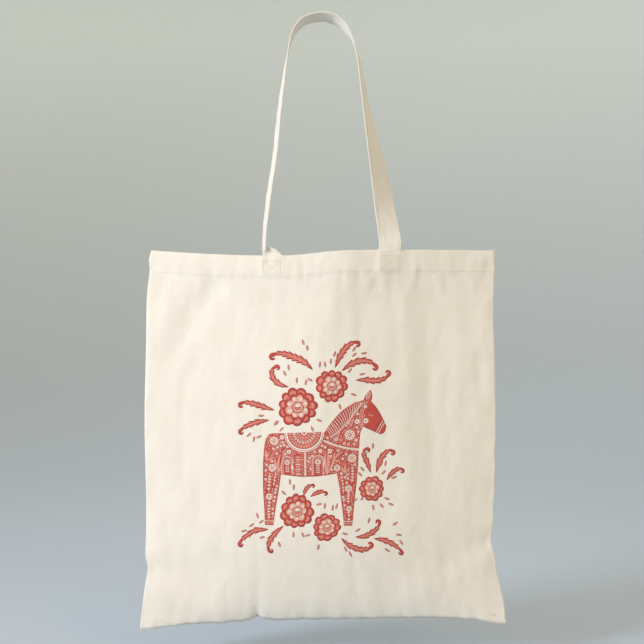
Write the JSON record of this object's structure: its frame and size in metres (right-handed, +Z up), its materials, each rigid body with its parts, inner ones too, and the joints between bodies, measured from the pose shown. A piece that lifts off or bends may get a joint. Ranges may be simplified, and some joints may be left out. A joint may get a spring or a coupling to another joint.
{
  "type": "printed cotton tote bag",
  "caption": "Flat cotton tote bag that hangs open from one of its two shoulder handles, with a red folk-art dala horse and flowers printed on its front.",
  "frame": {"origin": "where the front handle rests on a hook: the underside of the strap at the top of its arch", "axes": "+X to the right as one faces the print, +Y from the print to the back of the bag, +Z up; the bag hangs down -Z"},
  "size_m": [0.3868, 0.1219, 0.6541],
  "materials": {
    "natural_cotton": "unbleached plain weave, matte",
    "strap_cotton": "folded plain-weave strap, matte",
    "cotton_thread": "twisted sewing thread, matte",
    "red_ink": "water-based ink on the weave, matte",
    "coral_ink": "water-based ink on the weave, matte",
    "deep_red_ink": "water-based ink on the weave, matte"
  },
  "bodies": {
    "front_handle": {"front_handle_strap": "strap_cotton", "front_handle_stitching": "cotton_thread"},
    "bag": {"front_panel": "natural_cotton", "front_hem_fold": "natural_cotton", "front_hem_stitching": "cotton_thread", "front_left_handle_end": "strap_cotton", "front_left_box_stitch": "cotton_thread", "front_right_handle_end": "strap_cotton", "front_right_box_stitch": "cotton_thread", "back_panel": "natural_cotton", "back_hem_fold": "natural_cotton", "back_hem_stitching": "cotton_thread", "back_left_handle_end": "strap_cotton", "back_left_box_stitch": "cotton_thread", "back_right_handle_end": "strap_cotton", "back_right_box_stitch": "cotton_thread", "left_seam_allowance": "natural_cotton", "left_seam_overlock": "cotton_thread", "right_seam_allowance": "natural_cotton", "right_seam_overlock": "cotton_thread", "bottom_seam_allowance": "natural_cotton", "bottom_seam_overlock": "cotton_thread", "horse_print": "red_ink", "flower_prints": "coral_ink", "leaf_prints": "deep_red_ink", "seed_prints": "deep_red_ink"},
    "back_handle": {"back_handle_strap": "strap_cotton", "back_handle_stitching": "cotton_thread"}
  },
  "joints": [
    {"name": "bag_swing", "type": "hinge", "parent": "front_handle", "child": "bag", "pos_m": [0, 0, -0.252], "axis": [1, 0, 0], "range_deg": [-80, 12]},
    {"name": "back_handle_swing", "type": "hinge", "parent": "bag", "child": "back_handle", "pos_m": [0, 0.05471, -0.25966], "axis": [1, 0, 0], "range_deg": [0, 170]}
  ]
}
